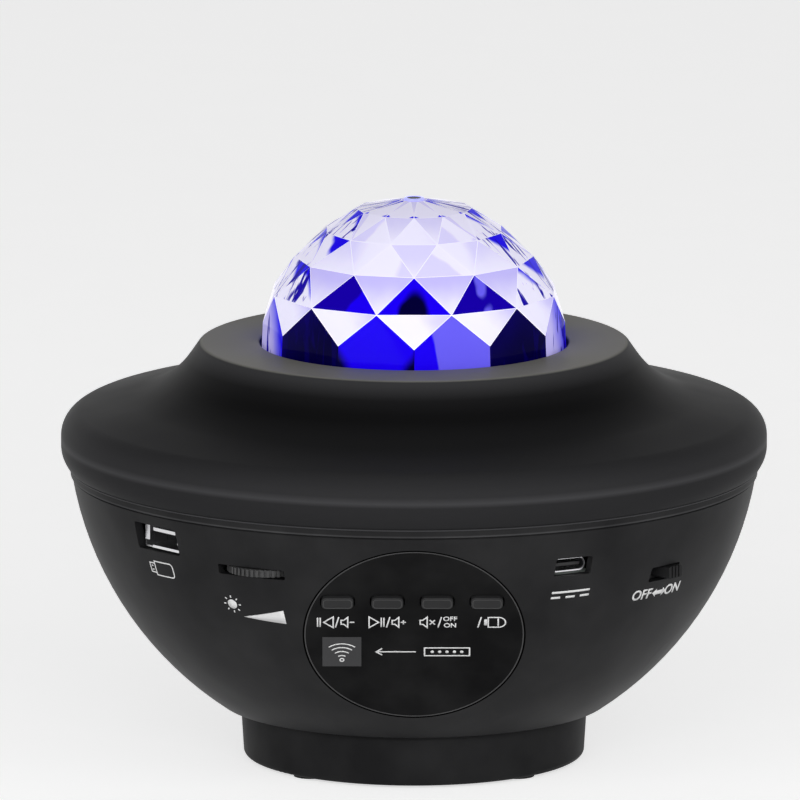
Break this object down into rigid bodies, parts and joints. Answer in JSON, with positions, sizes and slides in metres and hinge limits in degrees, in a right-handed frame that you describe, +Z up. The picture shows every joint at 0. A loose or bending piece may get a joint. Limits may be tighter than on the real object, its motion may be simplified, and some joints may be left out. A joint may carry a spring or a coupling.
{
  "type": "light projector",
  "caption": "Saucer-shaped night-light projector: faceted clear dome over a spinning ripple lens, bowl with a key panel, sockets, dimmer wheel and slide switch, speaker in the foot.",
  "frame": {"origin": "centre of the plane that the four rubber pads stand on", "axes": "+Z up, the key panel faces -Y, the power switch is towards +X"},
  "size_m": [0.165, 0.165, 0.1327],
  "materials": {
    "shell_black": "soft-touch matte",
    "foot_black": "fine matte",
    "panel_black": "smooth matte",
    "button_black": "satin",
    "control_grey": "satin",
    "dome_clear": "clear moulded acrylic, lit blue from inside",
    "chassis_white": "satin",
    "light_board": "white coated",
    "emitter": "clear cap",
    "laser_brass": "turned",
    "gear_white": "satin",
    "lens_clear": "rippled",
    "grating_clear": "fine lined film",
    "screw_steel": "zinc plated",
    "socket_steel": "bright pressed",
    "motor_steel": "rolled",
    "gearbox_black": "moulded",
    "board_green": "solder mask",
    "chip_black": "moulded",
    "insert_black": "moulded",
    "capacitor_sleeve": "shrunk sleeve",
    "pad_rubber": "matt",
    "gasket_foam": "foam",
    "basket_steel": "black",
    "cone_paper": "pressed",
    "magnet_dark": "ground",
    "window_grey": "smoked"
  },
  "bodies": {
    "housing": {"upper_shell": "shell_black", "lower_shell": "shell_black", "base_foot": "foot_black", "control_panel": "panel_black", "dome": "dome_clear", "light_chassis": "chassis_white", "led_board": "light_board", "led_emitters": "emitter", "laser_module": "laser_brass", "thrust_washer": "screw_steel", "rotor_clip": "screw_steel", "motor_gearbox": "gearbox_black", "motor_can": "motor_steel", "chassis_screws": "screw_steel", "led_screws": "screw_steel", "motor_screws": "screw_steel", "pillar_screws": "screw_steel", "foot_screws": "screw_steel", "speaker_screws": "screw_steel", "panel_screws": "screw_steel", "button_board_screws": "screw_steel", "board_screws": "screw_steel", "rubber_pads": "pad_rubber", "speaker_gasket": "gasket_foam", "speaker_basket": "basket_steel", "speaker_cone": "cone_paper", "speaker_magnet": "magnet_dark", "ir_window": "window_grey", "ir_receiver": "chip_black", "button_board": "board_green", "main_board": "board_green", "tact_switches": "chip_black", "board_chips": "chip_black", "capacitors": "capacitor_sleeve", "usb_socket_shell": "socket_steel", "usb_socket_block": "insert_black", "power_socket_shell": "socket_steel", "power_socket_tongue": "insert_black", "switch_body": "insert_black", "dimmer_body": "insert_black"},
    "rotor": {"rotor_gear": "gear_white", "ripple_lens": "lens_clear", "star_grating": "grating_clear"},
    "pinion": {"drive_pinion": "gear_white", "motor_shaft": "motor_steel"},
    "dimmer": {"dimmer_wheel": "control_grey"},
    "power_switch": {"switch_knob": "control_grey"},
    "previous_key": {"previous_button": "button_black", "previous_plunger": "insert_black"},
    "play_key": {"play_button": "button_black", "play_plunger": "insert_black"},
    "mute_key": {"mute_button": "button_black", "mute_plunger": "insert_black"},
    "source_key": {"source_button": "button_black", "source_plunger": "insert_black"}
  },
  "joints": [
    {"name": "rotor_spin", "type": "hinge", "parent": "housing", "child": "rotor", "pos_m": [0, 0, 0.085], "axis": [0, 0, 1], "continuous": true},
    {"name": "pinion_spin", "type": "hinge", "parent": "housing", "child": "pinion", "pos_m": [0, 0.02886, 0.085], "axis": [0, 0, 1], "continuous": true},
    {"name": "dimmer_turn", "type": "hinge", "parent": "housing", "child": "dimmer", "pos_m": [-0.03377, -0.06042, 0.05712], "axis": [0, 0, 1], "range_deg": [-135, 135]},
    {"name": "switch_slide", "type": "slide", "parent": "housing", "child": "power_switch", "axis": [0.6494, 0.7604, 0], "range_m": [-0.004, 0]},
    {"name": "previous_press", "type": "slide", "parent": "housing", "child": "previous_key", "axis": [0, 0.866, 0.5], "range_m": [0, 0.0008], "stiffness_N_per_m": 400},
    {"name": "play_press", "type": "slide", "parent": "housing", "child": "play_key", "axis": [0, 0.866, 0.5], "range_m": [0, 0.0008], "stiffness_N_per_m": 400},
    {"name": "mute_press", "type": "slide", "parent": "housing", "child": "mute_key", "axis": [0, 0.866, 0.5], "range_m": [0, 0.0008], "stiffness_N_per_m": 400},
    {"name": "source_press", "type": "slide", "parent": "housing", "child": "source_key", "axis": [0, 0.866, 0.5], "range_m": [0, 0.0008], "stiffness_N_per_m": 400}
  ],
  "couplings": [
    {"joint": "pinion_spin", "follows": "rotor_spin", "ratio": -5}
  ]
}
